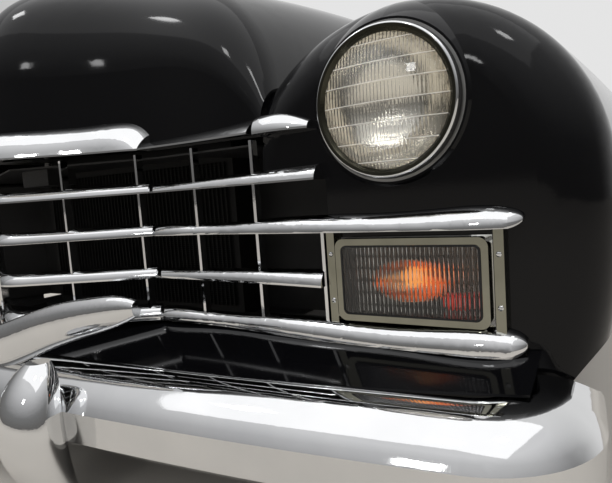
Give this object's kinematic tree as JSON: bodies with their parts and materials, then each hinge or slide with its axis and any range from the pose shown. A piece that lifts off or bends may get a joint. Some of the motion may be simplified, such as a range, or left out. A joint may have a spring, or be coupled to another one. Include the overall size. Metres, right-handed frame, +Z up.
{
  "type": "front end of a 1950s car",
  "caption": "Front end of a large 1950s saloon: hood on rear hinges, fenders, barred chrome grille, round headlamps, parking lamps and wrap-round bumper.",
  "frame": {"origin": "midway between the four bolt holes in the undersides of the frame rails", "axes": "+X to the car's left, +Y to the rear of the car, +Z up"},
  "size_m": [2.0092, 1.5531, 0.9275],
  "materials": {
    "body_paint": "gloss black",
    "inner_paint": "satin black",
    "chrome": "polished",
    "reflector": "silvered",
    "lamp_glass": "fluted clear glass",
    "bulb_glass": "amber glass",
    "steel": "bare",
    "core": "matt black"
  },
  "bodies": {
    "front_end": {"bumper_brackets": "inner_paint", "bumper_face_bar": "chrome", "bumper_guard_left": "chrome", "bumper_guard_right": "chrome", "bumper_wing": "chrome", "fender_apron_left": "inner_paint", "fender_apron_right": "inner_paint", "fender_left": "body_paint", "fender_right": "body_paint", "frame_rails": "inner_paint", "grille_bar_2": "chrome", "grille_bar_3": "chrome", "grille_bar_4": "chrome", "grille_bar_5": "chrome", "grille_end_left": "chrome", "grille_end_right": "chrome", "grille_uprights": "chrome", "headlamp_bucket_left": "steel", "headlamp_bucket_right": "steel", "headlamp_lens_left": "lamp_glass", "headlamp_lens_right": "lamp_glass", "headlamp_reflector_left": "reflector", "headlamp_reflector_right": "reflector", "headlamp_ring_left": "chrome", "headlamp_ring_right": "chrome", "hood_hinge_bracket_left": "steel", "hood_hinge_bracket_right": "steel", "hood_latch": "steel", "lock_plate": "inner_paint", "parking_lamp_bulb_left": "bulb_glass", "parking_lamp_bulb_right": "bulb_glass", "parking_lamp_frame_left": "chrome", "parking_lamp_frame_right": "chrome", "parking_lamp_lens_left": "lamp_glass", "parking_lamp_lens_right": "lamp_glass", "radiator_core": "core", "radiator_support": "inner_paint", "splash_panel": "body_paint"},
    "hood": {"grille_top_bar": "chrome", "hood_brace": "inner_paint", "hood_hinge_arm_left": "steel", "hood_hinge_arm_right": "steel", "hood_panel": "body_paint", "hood_striker": "steel"}
  },
  "joints": [
    {"name": "hood_hinge", "type": "hinge", "parent": "front_end", "child": "hood", "pos_m": [0, 0.52, 0.47], "axis": [-1, 0, 0], "range_deg": [0, 52]}
  ]
}
